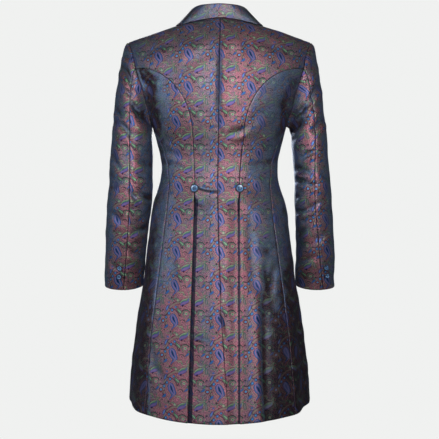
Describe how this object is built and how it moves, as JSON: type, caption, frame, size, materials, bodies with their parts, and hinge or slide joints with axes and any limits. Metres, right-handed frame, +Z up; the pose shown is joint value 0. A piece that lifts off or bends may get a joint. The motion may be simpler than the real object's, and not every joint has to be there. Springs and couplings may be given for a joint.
{
  "type": "frock coat",
  "caption": "Fitted knee-length frock coat in paisley brocade, princess seamed back with waist pleats and vent, rolled collar and lapels.",
  "frame": {"origin": "inside the empty coat, midway between the shoulder tips and level with them, where a wearer or a hanger holds it", "axes": "+Z up along the coat's length, the coat's front faces -Y and its back +Y, the wearer's left is +X"},
  "size_m": [0.5849, 0.3636, 0.9955],
  "materials": {
    "brocade": "shot satin brocade with a woven paisley, rose one way and steel blue the other",
    "pearl": "polished blue shell"
  },
  "bodies": {
    "root": {"back_left": "brocade", "back_right": "brocade", "side_back_left": "brocade", "side_back_right": "brocade", "front_left": "brocade", "front_right": "brocade", "lapel_left": "brocade", "lapel_right": "brocade", "collar": "brocade", "top_sleeve_left": "brocade", "top_sleeve_right": "brocade", "under_sleeve_left": "brocade", "under_sleeve_right": "brocade", "waist_button_left": "pearl", "waist_button_right": "pearl", "cuff_button_left_1": "pearl", "cuff_button_left_2": "pearl", "cuff_button_right_1": "pearl", "cuff_button_right_2": "pearl", "front_button_1": "pearl", "front_button_2": "pearl", "front_button_3": "pearl"}
  },
  "joints": []
}
